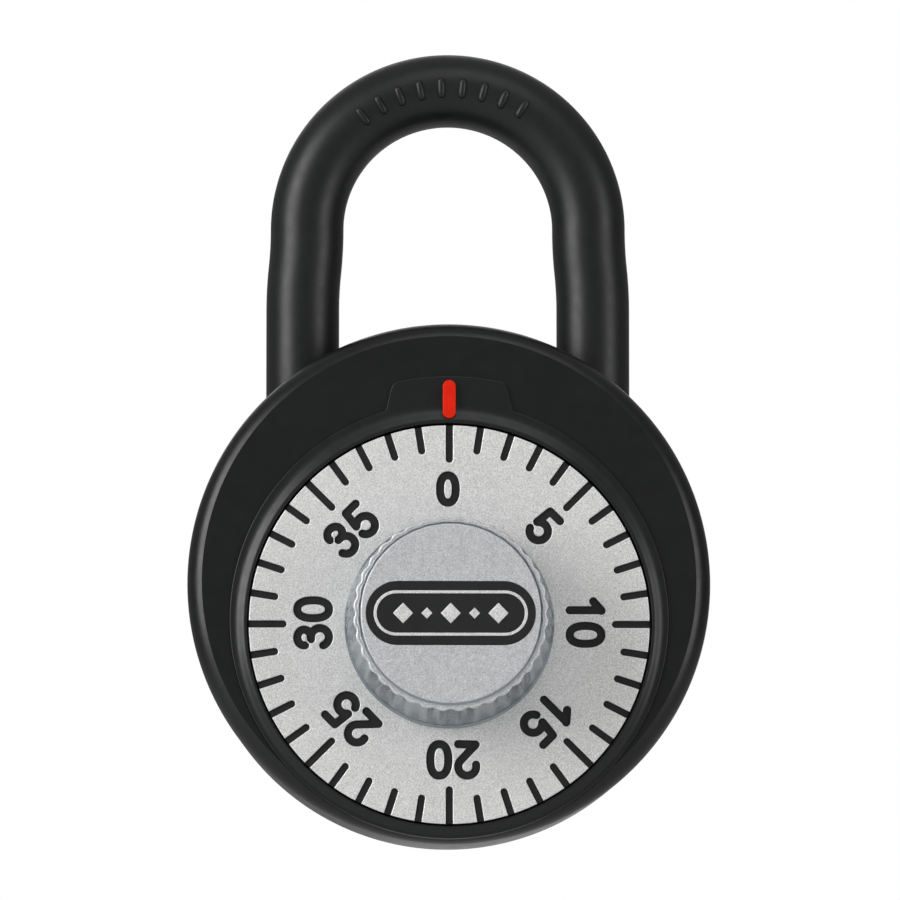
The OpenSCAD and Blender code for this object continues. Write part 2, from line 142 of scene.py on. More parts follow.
class DialSettings(bpy.types.PropertyGroup):
    """Numbered dial"""
    dial_r: length("Radius of the dial", 19.1, 18.9, 19.2)
    ticks: whole("Graduations", 40, 20, 60)
    tick_w: length("Width of a graduation", 0.68, 0.4, 0.8)
    tick_short: length("Length of a plain graduation", 2.6, 2, 3)
    tick_long: length("Length of a numbered graduation", 3.6, 3, 4)
    recess: length("Depth of graduations and numbers", 0.26, 0.1, 0.3)
    number_r: length("Radius of the ring of numbers", 12.97, 12, 14)
    stroke: length("Stroke of the numbers", 0.78, 0.4, 0.9)
    silver: colour("Silver of the dial", (0.80, 0.80, 0.79))
    ink: colour("Ink in the numbers", (0.010, 0.010, 0.011))


class KnobSettings(bpy.types.PropertyGroup):
    """Knob and its badge"""
    flutes: whole("Flutes", 36, 24, 48)
    flute_depth: length("Depth of the flutes", 0.24, 0, 0.4)
    face_r: length("Radius of the raised face", 8.45, 8, 8.8)
    badge_w: length("Width of the badge", 16.0, 12, 16)
    badge_l: length("Height of the badge", 6.0, 4, 7)
    lozenges: whole("Lozenges in the badge", 5, 0, 9)
    silver: colour("Silver of the knob's face", (0.67, 0.68, 0.695))
    # darker than the face's silver, partly as painted shade on the fluted wall and the face's step
    wall: colour("Metal of the fluted wall", (0.33, 0.37, 0.40))


class StudioSettings(bpy.types.PropertyGroup):
    """Camera and floor of the studio"""
    distance: length("Distance of the camera", 1000, 500, 3000)
    elevation: tilt("Camera above level", -7)
    azimuth: tilt("Camera to the left", 0.8)
    lens: FloatProperty(name="Focal length in millimetres", default=418, min=50, max=1000)
    floor_z: length("Height of the floor", -240, -500, -100)


SETTINGS = {
    "padlock_case": CaseSettings,
    "padlock_shackle": ShackleSettings,
    "padlock_dial": DialSettings,
    "padlock_knob": KnobSettings,
    "padlock_studio": StudioSettings,
}


def in_mm(settings):
    """A settings group with its lengths in millimetres, and its counts and colours as they are."""
    values = {}
    for name in type(settings).__annotations__:
        value = getattr(settings, name)
        values[name] = value / MM if isinstance(value, float) else value
    return SimpleNamespace(**values)


# ---- Drawing ----


def arc(centre, radius, start, end, steps):
    """Points of an arc or of an ellipse's arc, in degrees."""
    rx, ry = radius if isinstance(radius, tuple) else (radius, radius)
    turns = [math.radians(start + (end - start) * i / steps) for i in range(steps + 1)]
    return [(centre[0] + rx * math.cos(t), centre[1] + ry * math.sin(t)) for t in turns]


def rounded(corners, steps=5):
    """Closed outline through corners (a, b, radius), each rounded by its radius."""
    outline = []
    for i, (a, b, radius) in enumerate(corners):
        corner = Vector((a, b))
        if radius <= 0:
            outline.append((a, b))
            continue
        back = (Vector(corners[i - 1][:2]) - corner).normalized()
        ahead = (Vector(corners[(i + 1) % len(corners)][:2]) - corner).normalized()
        half = back.angle(ahead) / 2
        middle = corner + (back + ahead).normalized() * radius / math.sin(half)
        start = corner + back * radius / math.tan(half) - middle
        end = corner + ahead * radius / math.tan(half) - middle
        first = math.atan2(start.y, start.x)
        sweep = (math.atan2(end.y, end.x) - first + math.pi) % (2 * math.pi) - math.pi
        outline += [(middle.x + radius * math.cos(first + sweep * k / steps),
                     middle.y + radius * math.sin(first + sweep * k / steps))
                    for k in range(steps + 1)]
    return outline


def divided(outline, longest):
    """A closed outline with its long runs split into even steps."""
    steps = []
    for a, b in zip(outline, outline[1:] + outline[:1]):
        count = max(1, math.ceil(math.dist(a, b) / longest))
        steps += [(a[0] + (b[0] - a[0]) * i / count, a[1] + (b[1] - a[1]) * i / count)
                  for i in range(count)]
    return steps


def around(section, angles=256):
    """Points and quads of a closed section (r, h) carried round the h axis.
    section is a list, or a function of the angle in degrees from straight up."""
    if isinstance(angles, int):
        angles = [360 * i / angles for i in range(angles)]
    rows = [section(a) if callable(section) else section for a in angles]
    points = [(r * math.sin(math.radians(a)), r * math.cos(math.radians(a)), h)
              for a, row in zip(angles, rows) for r, h in row]
    return points, quads(len(rows), len(rows[0]), True)


def along(stations, sides=64):
    """Points and quads of a round bar through stations (x, y, direction in degrees, radius)."""
    points = []
    for x, y, direction, radius in stations:
        turn = math.radians(direction)
        for k in range(sides):
            side = 2 * math.pi * k / sides
            out = radius * math.cos(side)
            points.append((x + out * math.sin(turn), y - out * math.cos(turn),
                           radius * math.sin(side)))
    return points, quads(len(stations), sides, False)


def quads(rows, columns, closed):
    """Quads over a grid whose columns close, and whose rows close too when asked."""
    return [(i * columns + j, (i + 1) % rows * columns + j,
             (i + 1) % rows * columns + (j + 1) % columns, i * columns + (j + 1) % columns)
            for i in range(rows if closed else rows - 1) for j in range(columns)]


def prism(outline, low, high):
    """Points and faces of an outline (x, y) between two depths."""
    count = len(outline)
    points = [(x, y, h) for h in (low, high) for x, y in outline]
    sides = [(i, (i + 1) % count, count + (i + 1) % count, count + i) for i in range(count)]
    return points, [tuple(range(count))[::-1], tuple(range(count, 2 * count))] + sides


def joined(*shapes):
    """Points and faces of several shapes as one."""
    points, faces = [], []
    for shape_points, shape_faces in shapes:
        start = len(points)
        points += shape_points
        faces += [tuple(start + i for i in face) for face in shape_faces]
    return points, faces


def discs(spots, radius, low, high, sides=48):
    """Points and faces of round prisms that stand at spots (x, y), as one shape."""
    last = 360 - 360 / sides
    return joined(*[prism(arc(spot, radius, 0, last, sides - 1), low, high) for spot in spots])


def pill(width, height, steps=24):
    """Outline of a round-ended bar."""
    reach, radius = (width - height) / 2, height / 2
    return arc((reach, 0), radius, -90, 90, steps) + arc((-reach, 0), radius, 90, 270, steps)


def closed_up(mesh):
    """Merges a mesh's doubles, drops what they leave without area, fills the chinks that remain and
    turns its faces outwards."""
    work = bmesh.new()
    work.from_mesh(mesh)
    bmesh.ops.remove_doubles(work, verts=work.verts, dist=1e-5)
    bmesh.ops.dissolve_degenerate(work, edges=work.edges, dist=1e-6)
    bmesh.ops.delete(work, geom=[edge for edge in work.edges if edge.is_wire], context="EDGES")
    chinks = [edge for edge in work.edges if edge.is_boundary]
    bmesh.ops.holes_fill(work, edges=chinks, sides=4)
    bmesh.ops.recalc_face_normals(work, faces=work.faces)
    work.to_mesh(mesh)
    work.free()


def linked(name, data):
    """A new object in the scene."""
    thing = bpy.data.objects.new(name, data)
    bpy.context.scene.collection.objects.link(thing)
    return thing


def draw(name, shape):
    """An object in drawing millimetres from points and faces."""
    mesh = bpy.data.meshes.new(name)
    mesh.from_pydata(shape[0], [], shape[1])
    closed_up(mesh)
    return linked(name, mesh)


def settle(piece):
    """Replaces a curve object, or a mesh object with modifiers, by the plain mesh it makes."""
    bpy.context.view_layer.update()
    evaluated = piece.evaluated_get(bpy.context.evaluated_depsgraph_get())
    mesh = bpy.data.meshes.new_from_object(evaluated)
    name, old = piece.name, piece.data
    if piece.type == "MESH":
        piece.modifiers.clear()
        piece.data = mesh
        bpy.data.meshes.remove(old)
    else:
        bpy.data.objects.remove(piece)
        bpy.data.curves.remove(old)
        piece = linked(name, mesh)
    mesh.name = name
    return piece


def combine(piece, shape, operation):
    """Adds a shape to a piece (UNION) or takes it away (DIFFERENCE)."""
    tool = draw("tool", shape)
    modifier = piece.modifiers.new("combine", "BOOLEAN")
    modifier.object, modifier.operation, modifier.solver = tool, operation, "EXACT"
    settle(piece)
    old = tool.data
    bpy.data.objects.remove(tool)
    bpy.data.meshes.remove(old)


def plate(name, outlines, low, high, bevel):
    """A flat plate with softened edges from nested outlines: a hole inside a sheet, an island
    inside a hole."""
    curve = bpy.data.curves.new(name, "CURVE")
    curve.dimensions, curve.fill_mode = "2D", "BOTH"
    curve.extrude = (high - low) / 2 - bevel
    curve.bevel_depth, curve.bevel_resolution, curve.offset = bevel, 1, -bevel
    for outline in outlines:
        spline = curve.splines.new("POLY")
        spline.points.add(len(outline) - 1)
        spline.points.foreach_set("co", np.array([(x, y, 0, 1) for x, y in outline]).ravel())
        spline.use_cyclic_u = True
    piece = settle(linked(name, curve))
    piece.data.transform(Matrix.Translation((0, 0, (low + high) / 2)))
    closed_up(piece.data)
    return piece


def seat(piece, up_zero, body, material, slot, *nodes, sharp=30):
    """Carries a drawing into the frame about a height, shades it and hangs it on its body."""
    axes = Matrix(((1, 0, 0, 0), (0, 0, -1, 0), (0, 1, 0, 0), (0, 0, 0, 1)))
    piece.data.transform(Matrix.Translation((0, 0, up_zero * MM)) @ axes @ Matrix.Scale(MM, 4))
    piece.data.set_sharp_from_angle(angle=math.radians(sharp))
    piece.data.polygons.foreach_set(
        "use_smooth", [abs(face.normal.y) < 0.9999 for face in piece.data.polygons])
    piece.data.materials.clear()
    piece.data.materials.append(material)
    piece.data.update()
    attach(piece, body)
    if nodes:
        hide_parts(*nodes)
    return piece


# ---- Geometry Nodes ----


class NodeSheet:
    """A Geometry Nodes tree under construction, with named number inputs and a material."""

    def __init__(self, name, **inputs):
        self.tree = bpy.data.node_groups.new(name, "GeometryNodeTree")
        sockets = self.tree.interface
        sockets.new_socket("Geometry", in_out="OUTPUT", socket_type="NodeSocketGeometry")
        sockets.new_socket("Geometry", in_out="INPUT", socket_type="NodeSocketGeometry")
        sockets.new_socket("Material", in_out="INPUT", socket_type="NodeSocketMaterial")
        for label, default in inputs.items():
            kind = "NodeSocketInt" if isinstance(default, int) else "NodeSocketFloat"
            socket = sockets.new_socket(label.replace("_", " "), in_out="INPUT", socket_type=kind)
            socket.default_value = default
        self.source = self.tree.nodes.new("NodeGroupInput")

    def add(self, kind, settings=None, **inputs):
        """A node with its settings, and its inputs linked or set by name or number."""
        node = self.tree.nodes.new(kind)
        for key, value in (settings or {}).items():
            setattr(node, key, value)
        for key, value in inputs.items():
            socket = node.inputs[int(key[1:]) if key[0] == "_" else key.replace("_", " ")]
            if isinstance(value, bpy.types.Node):
                value = value.outputs[0]
            if isinstance(value, bpy.types.NodeSocket):
                self.tree.links.new(value, socket)
            else:
                socket.default_value = value
        return node

    def math(self, operation, *values):
        inputs = {f"_{i}": value for i, value in enumerate(values)}
        return self.add("ShaderNodeMath", {"operation": operation}, **inputs)

    def vector(self, operation, **inputs):
        return self.add("ShaderNodeVectorMath", {"operation": operation}, **inputs)

    def wire(self, radius):
        """Round section of a radius."""
        return self.add("GeometryNodeCurvePrimitiveCircle", {"mode": "RADIUS"}, Resolution=12,
                        Radius=radius)

    def of(self, label):
        return self.source.outputs[label]

    def end(self, geometry):
        """Realises the instances, sets the material and joins the output."""
        real = self.add("GeometryNodeRealizeInstances", Geometry=geometry)
        done = self.add("GeometryNodeSetMaterial", Geometry=real, Material=self.of("Material"))
        self.add("NodeGroupOutput", Geometry=done)

    def run(self, piece, **values):
        """Puts the tree on a piece, sets its inputs by identifier and settles the result."""
        modifier = piece.modifiers.new(self.tree.name, "NODES")
        modifier.node_group = self.tree
        for item in self.tree.interface.items_tree:
            if item.in_out == "INPUT" and item.name.replace(" ", "_") in values:
                modifier[item.identifier] = values[item.name.replace(" ", "_")]
        return settle(piece)


def flutes_tree():
    """Presses even flutes into a wall, as deep at each point as its flute attribute says."""
    sheet = NodeSheet("Knob Flutes", Flutes=36, Depth=0.24)
    position = sheet.add("GeometryNodeInputPosition")
    parts = sheet.add("ShaderNodeSeparateXYZ", Vector=position)
    turn = sheet.math("ARCTAN2", parts.outputs["Y"], parts.outputs["X"])
    wave = sheet.math("COSINE", sheet.math("MULTIPLY", turn, sheet.of("Flutes")))
    scoop = sheet.math("POWER", sheet.math("MULTIPLY_ADD", wave, 0.5, 0.5), 1.3)
    share = sheet.add("GeometryNodeInputNamedAttribute", {"data_type": "FLOAT"}, Name="flute")
    depth = sheet.math("MULTIPLY", sheet.math("MULTIPLY", scoop, sheet.of("Depth")), share)
    flat = sheet.vector("MULTIPLY", _0=position, _1=(1.0, 1.0, 0.0))
    offset = sheet.vector("SCALE", _0=sheet.vector("NORMALIZE", _0=flat),
                          Scale=sheet.math("MULTIPLY", depth, -1.0))
    sheet.end(sheet.add("GeometryNodeSetPosition", Geometry=sheet.of("Geometry"), Offset=offset))
    return sheet


RIBS_MIDDLE = math.pi / 2 + 0.05      # place of the middle rib round the bow
RIB_SUNK = 0.22                       # share of a rib's width that lies in the bar


def ribs_tree():
    """Lays short raised ribs over the front of the bow, evenly along it."""
    sheet = NodeSheet("Bow Ribs", Count=9, Bow_Radius=13.6, Wire_Radius=3.5, Width=0.8, Spread=1.22,
                      Reach=0.62)
    width = sheet.of("Width")
    gaps = sheet.math("SUBTRACT", sheet.of("Count"), 1.0)
    step = sheet.math("DIVIDE", sheet.of("Spread"), gaps)
    from_middle = sheet.math("SUBTRACT", sheet.add("GeometryNodeInputIndex"),
                             sheet.math("MULTIPLY", gaps, 0.5))
    turn = sheet.math("ADD", sheet.math("MULTIPLY", from_middle, step), RIBS_MIDDLE)
    x = sheet.math("MULTIPLY", sheet.math("COSINE", turn), sheet.of("Bow Radius"))
    y = sheet.math("MULTIPLY", sheet.math("SINE", turn), sheet.of("Bow Radius"))
    spots = sheet.add("GeometryNodeSetPosition",
                      Geometry=sheet.add("GeometryNodeMeshLine", Count=sheet.of("Count")),
                      Position=sheet.add("ShaderNodeCombineXYZ", X=x, Y=y))
    sunk = sheet.math("SUBTRACT", sheet.of("Wire Radius"), sheet.math("MULTIPLY", width, RIB_SUNK))
    start = sheet.math("SUBTRACT", RIBS_MIDDLE, sheet.math("MULTIPLY", sheet.of("Reach"), 0.5))
    path = sheet.add("GeometryNodeCurveArc", {"mode": "RADIUS"}, Resolution=15, Radius=sunk,
                     Start_Angle=start, Sweep_Angle=sheet.of("Reach"))
    along_rib = sheet.add("GeometryNodeSplineParameter").outputs["Factor"]
    centred = sheet.math("MULTIPLY_ADD", along_rib, 2.0, -1.0)
    full = sheet.math("SUBTRACT", 1.0, sheet.math("POWER", sheet.math("ABSOLUTE", centred), 6.0))
    taper = sheet.math("SQRT", sheet.math("MAXIMUM", full, 0.04))
    rib = sheet.add("GeometryNodeCurveToMesh", Curve=path, Scale=taper, Fill_Caps=True,
                    Profile_Curve=sheet.wire(sheet.math("MULTIPLY", width, 0.5)))
    stood = sheet.add("GeometryNodeTransform", Geometry=rib, Rotation=(math.pi / 2, 0.0, 0.0))
    sheet.end(sheet.add("GeometryNodeInstanceOnPoints", Points=spots, Instance=stood,
                        Rotation=sheet.add("ShaderNodeCombineXYZ", Z=turn)))
    return sheet


def spring_tree():
    """Winds a round wire into a coil spring."""
    sheet = NodeSheet("Coil Spring", Turns=8.0, Coil_Radius=0.85, Wire_Radius=0.2, Length=11.8)
    coil = sheet.add("GeometryNodeCurveSpiral", Resolution=24, Rotations=sheet.of("Turns"),
                     Start_Radius=sheet.of("Coil Radius"), End_Radius=sheet.of("Coil Radius"),
                     Height=sheet.of("Length"))
    sheet.end(sheet.add("GeometryNodeCurveToMesh", Curve=coil, Fill_Caps=True,
                        Profile_Curve=sheet.wire(sheet.of("Wire Radius"))))
    return sheet


def lozenges_tree():
    """Sets a row of raised lozenges, large and small in turn."""
    sheet = NodeSheet("Badge Lozenges", Count=5, Spacing=2.2, Size=1.0, Thickness=0.08)
    gaps = sheet.math("SUBTRACT", sheet.of("Count"), 1.0)
    half = sheet.math("MULTIPLY", sheet.math("MULTIPLY", gaps, sheet.of("Spacing")), -0.5)
    line = sheet.add("GeometryNodeMeshLine", Count=sheet.of("Count"),
                     Start_Location=sheet.add("ShaderNodeCombineXYZ", X=half),
                     Offset=sheet.add("ShaderNodeCombineXYZ", X=sheet.of("Spacing")))
    lozenge = sheet.add("GeometryNodeMeshCone", {"fill_type": "NGON"}, Vertices=4,
                        Radius_Top=sheet.math("MULTIPLY", sheet.of("Size"), 0.86),
                        Radius_Bottom=sheet.of("Size"), Depth=sheet.of("Thickness"))
    odd = sheet.math("MODULO", sheet.add("GeometryNodeInputIndex"), 2.0)
    size = sheet.math("SUBTRACT", 1.0, sheet.math("MULTIPLY", odd, 0.45))
    scale = sheet.add("ShaderNodeCombineXYZ", X=sheet.math("MULTIPLY", size, 0.95), Y=size, Z=1.0)
    sheet.end(sheet.add("GeometryNodeInstanceOnPoints", Points=line, Instance=lozenge, Scale=scale))
    return sheet


# ---- Materials ----


class Finish:
    """A procedural material on Object coordinates, scaled so that a noise scale is per millimetre."""

    def __init__(self, name, metallic=0.0, specular=0.5):
        self.material = bpy.data.materials.new(name)
        self.material.use_nodes = True
        self.nodes, self.links = self.material.node_tree.nodes, self.material.node_tree.links
        self.shader = self.nodes["Principled BSDF"]
        self.shader.inputs["Metallic"].default_value = metallic
        self.shader.inputs["Specular IOR Level"].default_value = specular
        place = self.nodes.new("ShaderNodeTexCoord").outputs["Object"]
        self.mapping = self.stretched(place, (1 / MM,) * 3)
        self.relief = None

    def join(self, value, socket):
        """Links a value from another node to a socket, or sets a plain one on it."""
        if isinstance(value, bpy.types.NodeSocket):
            self.links.new(value, socket)
        else:
            socket.default_value = value

    def stretched(self, place, scale):
        node = self.nodes.new("ShaderNodeMapping")
        node.inputs["Scale"].default_value = scale
        self.links.new(place, node.inputs["Vector"])
        return node.outputs["Vector"]

    def parts(self):
        """The coordinates apart, in millimetres."""
        node = self.nodes.new("ShaderNodeSeparateXYZ")
        self.links.new(self.mapping, node.inputs[0])
        return node.outputs

    def noise(self, scale, detail=3.0, roughness=0.55, stretch=None):
        """Noise of a scale per millimetre, stretched along an axis when asked."""
        texture = self.nodes.new("ShaderNodeTexNoise")
        for key, value in (("Scale", scale), ("Detail", detail), ("Roughness", roughness)):
            texture.inputs[key].default_value = value
        place = self.stretched(self.mapping, stretch) if stretch else self.mapping
        self.links.new(place, texture.inputs["Vector"])
        return texture.outputs["Fac"]

    def rings(self, axis_z, scale):
        """Noise that changes only with the distance from a turning axis at a height."""
        parts = self.parts()
        rise = self.op("SUBTRACT", parts["Z"], axis_z)
        squares = self.op("ADD", self.op("MULTIPLY", parts["X"], parts["X"]),
                          self.op("MULTIPLY", rise, rise))
        texture = self.nodes.new("ShaderNodeTexNoise")
        texture.noise_dimensions = "1D"
        texture.inputs["Scale"].default_value = scale
        self.links.new(self.op("SQRT", squares), texture.inputs["W"])
        return texture.outputs["Fac"]

    def op(self, operation, *values):
        node = self.nodes.new("ShaderNodeMath")
        node.operation = operation
        for socket, value in zip(node.inputs, values):
            self.join(value, socket)
        return node.outputs[0]

    def spread(self, source, low, high, start=0.3, end=0.7):
        """A value that runs from low to high as the source runs from start to end."""
        node = self.nodes.new("ShaderNodeMapRange")
        self.links.new(source, node.inputs["Value"])
        for key, value in (("From Min", start), ("From Max", end), ("To Min", low), ("To Max", high)):
            node.inputs[key].default_value = value
        return node.outputs["Result"]

    def ramp(self, source, low, high, start=0.3, end=0.7):
        """A colour that runs between two colours as the source runs from start to end."""
        node = self.nodes.new("ShaderNodeValToRGB")
        for stop, place, value in zip(node.color_ramp.elements, (start, end), (low, high)):
            stop.position, stop.color = place, (*value, 1)
        self.links.new(source, node.inputs["Fac"])
        return node.outputs["Color"]

    def mixed(self, share, a, b, kind):
        """One value or colour going over into another."""
        mix = self.nodes.new("ShaderNodeMix")
        mix.data_type = kind
        first, second, result = {"FLOAT": (2, 3, 0), "RGBA": (6, 7, 2)}[kind]
        for index, value in ((0, share), (first, a), (second, b)):
            self.join(value, mix.inputs[index])
        return mix.outputs[result]

    def colour(self, source, value, low, high):
        """Base colour that clouds from a low to a high share of a value."""
        clouds = self.ramp(source, shade(value, low), shade(value, high))
        self.join(clouds, self.shader.inputs["Base Color"])

    def rough(self, source, low, high):
        self.join(self.spread(source, low, high), self.shader.inputs["Roughness"])

    def bump(self, source, height):
        """Relief of a height in millimetres over the relief that is already there."""
        node = self.nodes.new("ShaderNodeBump")
        node.inputs["Strength"].default_value = 1.0
        node.inputs["Distance"].default_value = height * MM
        self.links.new(source, node.inputs["Height"])
        if self.relief:
            self.links.new(self.relief, node.inputs["Normal"])
        self.relief = node.outputs["Normal"]
        self.links.new(self.relief, self.shader.inputs["Normal"])


def shade(value, factor):
    return tuple(channel * factor for channel in value)


def satin_black(name, value, low, high):
    """Baked satin enamel: even black with a soft orange peel and a little dust in its gloss."""
    finish = Finish(name, specular=0.38)
    finish.colour(finish.noise(0.12), value, 0.85, 1.2)
    finish.rough(finish.noise(0.9, 4.0), low, high)
    finish.bump(finish.noise(1.6, 2.0), 0.0035)
    finish.bump(finish.noise(14.0, 2.0), 0.0006)
    return finish.material


def grained_silver(name, value, metallic=0.5, wall=None):
    """Sprayed silver: fine metallic flakes that catch the light one by one. With a wall colour, the
    fluted wall and the step of the knob's face are smoother and fully metallic, and darker as
    painted shade: on the step it is the painted shadow of the raised face."""
    finish = Finish(name, metallic=metallic)
    flakes = finish.noise(7.5, 6.0, 0.85)
    face = finish.ramp(flakes, shade(value, 0.55), shade(value, 1.26), 0.36, 0.64)
    smooth = finish.spread(finish.noise(2.3, 3.0), 0.40, 0.54)
    if wall:
        # step is the side of the raised face; behind is the step together with the fluted wall. Both
        # take the darker wall colour as painted shade
        depth = finish.op("ADD", finish.parts()["Y"], KNOB_H)
        step = finish.op("MINIMUM", finish.spread(depth, 0.0, 1.0, 0.07, 0.11),
                         finish.spread(depth, 1.0, 0.0, 0.36, 0.40))
        behind = finish.op("MAXIMUM", finish.spread(depth, 0.0, 1.0, 0.58, 0.85), step)
        # the wall colour: smoother bare metal, darker than the face's silver as painted shade
        shaded_bare_colour = finish.ramp(flakes, shade(wall, 0.85), shade(wall, 1.1), 0.36, 0.64)
        face = finish.mixed(behind, face, shaded_bare_colour, "RGBA")
        smooth = finish.mixed(behind, smooth, 0.24, "FLOAT")
        finish.join(finish.mixed(behind, metallic, 1.0, "FLOAT"), finish.shader.inputs["Metallic"])
    finish.join(face, finish.shader.inputs["Base Color"])
    finish.join(smooth, finish.shader.inputs["Roughness"])
    finish.bump(flakes, 0.012)
    return finish.material


def filled_ink(name, value):
    """Matt paint that fills a recess, with a slightly uneven surface."""
    finish = Finish(name, specular=0.3)
    finish.colour(finish.noise(1.2), value, 0.8, 1.3)
    finish.rough(finish.noise(3.0), 0.42, 0.6)
    finish.bump(finish.noise(3.5, 3.0), 0.006)
    return finish.material


def signal_paint(name, value):
    """Thick signal paint with a soft surface."""
    finish = Finish(name, specular=0.15)
    finish.colour(finish.noise(1.0), value, 0.92, 1.08)
    finish.rough(finish.noise(2.2), 0.42, 0.55)
    finish.bump(finish.noise(2.6), 0.008)
    return finish.material


def plated(name, value, low=0.28, high=0.45):
    """Plated pressed steel: soft clouding and the faint lines of the sheet it was cut from."""
    finish = Finish(name, metallic=1.0)
    finish.colour(finish.noise(0.35), value, 0.86, 1.06)
    finish.rough(finish.noise(1.1), low, high)
    finish.bump(finish.noise(2.5, 3.0, stretch=(0.1, 1.0, 2.0)), 0.003)
    return finish.material


def turned(name, value):
    """Turned metal with fine rings about the dial's axis."""
    finish = Finish(name, metallic=1.0)
    finish.colour(finish.noise(0.3), value, 0.9, 1.05)
    lines = finish.rings(DIAL_Z, 7.0)
    finish.rough(lines, 0.2, 0.34)
    finish.bump(lines, 0.004)
    return finish.material


# ---- Case ----


EDGE_DROP = 0.15                  # drop of the front edge's arc left out at the crease of the face
TAB_START, TAB_END = 12.3, 17.0   # degrees from straight up between which the tab's flank runs
RING_RISE = 0.5                   # centre of the ring above the dial axis
CREST = 0.9                       # height of the bezel's crest above the case face
FLANGE = 0.40                     # height of the bezel's outer line above the case face
# Rise of the ring's flare above the case face, by its share of the way out from the opening
FLARE = ((0.84, 0.41), (0.74, 0.425), (0.62, 0.47), (0.50, 0.55), (0.40, 0.65), (0.30, 0.755),
         (0.22, 0.83), (0.15, 0.88))
POCKET = 0.5                      # depth of the pocket that the bezel lies in
WELL_R = 19.85                    # outer radius of the well that the dial turns in
WELL_BACK_H, WELL_H = 7.2, 8.4    # back and front of the well's floor
HUB_R, HUB_BACK_H = 4.0, 4.4      # radius and back of the hub behind the well
BORE_R = 2.05                     # bore for the spindle
FACE_T = 1.6                      # thickness of the jacket's front
TAPER = 0.85                      # the back edge's radius is this much less than the front's
LIP_R, LIP_T = 20.1, 0.85         # inner radius and thickness of the jacket's back lip
LIP_INSET = 0.3                   # the lip stands this far in from the cover's back
FRAME_H = -3.85                   # front of the mechanism frame
POSTS = ((-6.5, 20.0), (6.5, 20.0))             # rivet posts of the jacket
LOW_POSTS = ((-15.0, -13.0), (15.0, -13.0))     # rivet posts of the bezel
POST_R, LOW_POST_R = 1.8, 1.6
RIVET_BORE = (0.8, -6, -0.7)      # radius, back and front of a rivet's bore
CLEAR_H = 14                      # height that clears the bezel


def tab_share(angle):
    """1 over the index tab, 0 over the plain ring, and a smooth run between."""
    off = min(angle % 360, -angle % 360)
    t = min(1, max(0, (TAB_END - off) / (TAB_END - TAB_START)))
    return t * t * (3 - 2 * t)


def bezel_angles():
    """Angles round the bezel, closer together over the flanks of the tab."""
    fine = [TAB_START - 1.5 + 0.25 * i for i in range(int((TAB_END - TAB_START + 3) / 0.25) + 1)]
    coarse = [a for a in range(0, 360) if not fine[0] - 0.5 < min(a, 360 - a) < fine[-1] + 0.5]
    return sorted(coarse + fine + [360 - a for a in fine])


def ring_edge(case, angle):
    """Radius of the bezel's ring about the dial axis, without the tab."""
    up = math.cos(math.radians(angle))
    return RING_RISE * up + math.sqrt(case.ring_r ** 2 - RING_RISE ** 2 * (1 - up * up))


def bezel_edge(case, angle, grow=0.0):
    """Radius of the bezel's outline about the dial axis."""
    ring = ring_edge(case, angle)
    return ring + (case.tab_r - ring) * tab_share(angle) + grow


class PADLOCK_OT_case(bpy.types.Operator):
    """Make the round jacket of the case, with its bezel pocket and the holes for the legs"""
    bl_idname = "padlock.case"
    bl_label = "Case"

    def execute(self, context):
        case = in_mm(context.scene.padlock_case)
        inner_r = node_mm("rear_cover")[1].x + 0.1
        lip_h = BACK_H + LIP_INSET
        crease = math.degrees(math.acos(1 - EDGE_DROP / case.edge_r))
        edge_h = FACE_H - case.edge_r * math.cos(math.radians(crease))
        edge = arc((BODY_R - case.edge_r, edge_h), case.edge_r, 90 - crease, 0, 10)
        jacket = draw("case_jacket", around(rounded([
            *[(r, h, 0) for r, h in edge],
            (BODY_R - TAPER, lip_h, 1.0),
            (LIP_R, lip_h, 0.25),
            (LIP_R, lip_h + LIP_T, 0),
            (inner_r, lip_h + LIP_T, 0.2),
            (inner_r, FACE_H - FACE_T, 0.6),
            (0, FACE_H - FACE_T, 0),
            (0, FACE_H, 0),
        ], 10), 288))
        combine(jacket, discs(POSTS, POST_R, FRAME_H, FACE_H - 1), "UNION")

        def opening(angle):
            edge, floor = bezel_edge(case, angle, 0.04), FACE_H - POCKET
            return [(0, 5), (WELL_R + 0.04, 5), (WELL_R + 0.04, floor), (edge, floor),
                    (edge, CLEAR_H), (0, CLEAR_H)]

        points, faces = around(opening, bezel_angles())
        combine(jacket, ([(x, y - DIAL_DROP, h) for x, y, h in points], faces), "DIFFERENCE")
        hole_r = WIRE_R + 0.1
        legs = [along([(side * LEG_X, y, 90, radius) for y, radius in (
            (12, 0), (12, hole_r), (32, hole_r), (32, 0))]) for side in (-1, 1)]
        combine(jacket, joined(*legs, discs(POSTS, *RIVET_BORE, 24)), "DIFFERENCE")
        closed_up(jacket.data)
        black = satin_black("Jacket Enamel", case.black, 0.28, 0.36)
        seat(jacket, CASE_Z, "case", black, "jacket_black", "front_shell", sharp=16)
        return {"FINISHED"}


class PADLOCK_OT_back(bpy.types.Operator):
    """Make the flat back cover, with a shallow ring groove, that the jacket's lip holds in"""
    bl_idname = "padlock.back"
    bl_label = "Back Cover"

    def execute(self, context):
        case = in_mm(context.scene.padlock_case)
        flange_r = node_mm("rear_cover")[1].x
        front = -node_mm("rear_cover")[0].y
        cover = draw("back_cover", around(rounded([
            (0, BACK_H, 0),
            (17.1, BACK_H, 0.05),
            (17.25, BACK_H + 0.14, 0.06),
            (17.55, BACK_H + 0.14, 0.06),
            (17.7, BACK_H, 0.05),
            (LIP_R - 0.25, BACK_H, 0.3),
            (LIP_R - 0.1, front - 1, 0),
            (flange_r, front - 1, 0.1),
            (flange_r, front, 0.1),
            (0, front, 0),
        ], 4), 192))
        black = satin_black("Cover Enamel", shade(case.black, 1.1), 0.36, 0.46)
        seat(cover, CASE_Z, "case", black, "jacket_black", "rear_cover")
        return {"FINISHED"}


